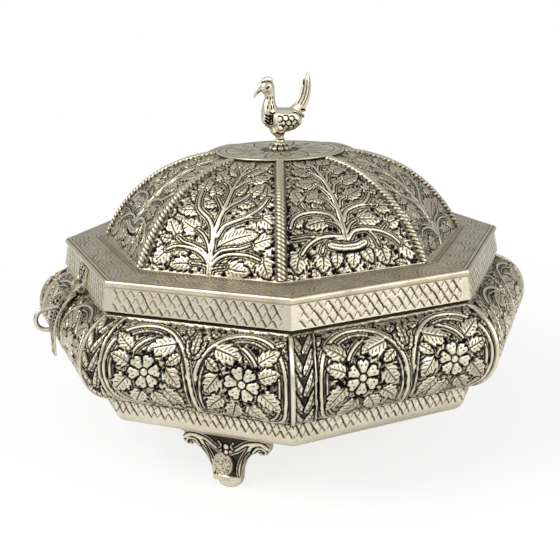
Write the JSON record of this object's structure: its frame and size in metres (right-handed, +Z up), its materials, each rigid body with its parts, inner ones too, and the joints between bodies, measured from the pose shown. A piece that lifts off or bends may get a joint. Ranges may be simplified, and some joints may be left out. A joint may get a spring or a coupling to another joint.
{
  "type": "paan box",
  "caption": "Footed octagonal box of chased silver for betel leaf and condiments, with a hinged domed lid, bird finial, front hasp and staple, and a lift-out tray of covered cups.",
  "frame": {"origin": "on the octagon's axis, in the plane that the three toes stand on", "axes": "+Z up along the octagon's axis, -Y towards the hasp, +X to the right of someone facing it"},
  "size_m": [0.2236, 0.2336, 0.1666],
  "materials": {
    "chased_silver": "chased silver with dark patina in its recesses",
    "plain_silver": "plain satin silver",
    "dark_silver": "dulled silver of pins and hidden fixings"
  },
  "bodies": {
    "root": {"body_shell": "chased_silver", "rim_collar": "plain_silver", "tray_ledge": "plain_silver", "floor_plate": "plain_silver", "base_band": "chased_silver", "foot_front_right": "chased_silver", "foot_back": "chased_silver", "foot_front_left": "chased_silver", "hinge_leaf_body": "plain_silver", "hinge_rivets_body": "plain_silver", "hinge_pin": "dark_silver", "staple": "plain_silver"},
    "lid": {"lid_flange": "chased_silver", "lid_skirt": "chased_silver", "edge_moulding": "chased_silver", "lid_dome": "chased_silver", "dome_ropes": "chased_silver", "crown_plate": "chased_silver", "finial_rosette": "chased_silver", "finial_bird": "chased_silver", "finial_stud": "dark_silver", "finial_washer": "dark_silver", "finial_nut": "dark_silver", "hinge_leaf_lid": "plain_silver", "hinge_rivets_lid": "plain_silver", "hasp_bracket": "plain_silver", "hasp_pin": "dark_silver"},
    "hasp": {"hasp": "chased_silver"},
    "tray": {"tray": "plain_silver", "tray_handles": "plain_silver", "cup_middle": "plain_silver", "cup_1": "plain_silver", "cup_2": "plain_silver", "cup_3": "plain_silver", "cup_4": "plain_silver", "cup_5": "plain_silver", "cup_6": "plain_silver"},
    "cover_middle": {"cover_middle": "plain_silver"},
    "cover_1": {"cover_1": "plain_silver"},
    "cover_2": {"cover_2": "plain_silver"},
    "cover_3": {"cover_3": "plain_silver"},
    "cover_4": {"cover_4": "plain_silver"},
    "cover_5": {"cover_5": "plain_silver"},
    "cover_6": {"cover_6": "plain_silver"}
  },
  "joints": [
    {"name": "lid_hinge", "type": "hinge", "parent": "root", "child": "lid", "pos_m": [0, 0.1011, 0.07861], "axis": [-1, 0, 0], "range_deg": [0, 100]},
    {"name": "hasp_hinge", "type": "hinge", "parent": "lid", "child": "hasp", "pos_m": [0, -0.1007, 0.07741], "axis": [-1, 0, 0], "range_deg": [0, 100]},
    {"name": "tray_lift", "type": "slide", "parent": "root", "child": "tray", "axis": [0, 0, 1], "range_m": [0, 0.005]},
    {"name": "cover_middle_lift", "type": "slide", "parent": "tray", "child": "cover_middle", "axis": [0, 0, 1], "range_m": [0, 0.005]},
    {"name": "cover_1_lift", "type": "slide", "parent": "tray", "child": "cover_1", "axis": [0, 0, 1], "range_m": [0, 0.005]},
    {"name": "cover_2_lift", "type": "slide", "parent": "tray", "child": "cover_2", "axis": [0, 0, 1], "range_m": [0, 0.005]},
    {"name": "cover_3_lift", "type": "slide", "parent": "tray", "child": "cover_3", "axis": [0, 0, 1], "range_m": [0, 0.005]},
    {"name": "cover_4_lift", "type": "slide", "parent": "tray", "child": "cover_4", "axis": [0, 0, 1], "range_m": [0, 0.005]},
    {"name": "cover_5_lift", "type": "slide", "parent": "tray", "child": "cover_5", "axis": [0, 0, 1], "range_m": [0, 0.005]},
    {"name": "cover_6_lift", "type": "slide", "parent": "tray", "child": "cover_6", "axis": [0, 0, 1], "range_m": [0, 0.005]}
  ]
}
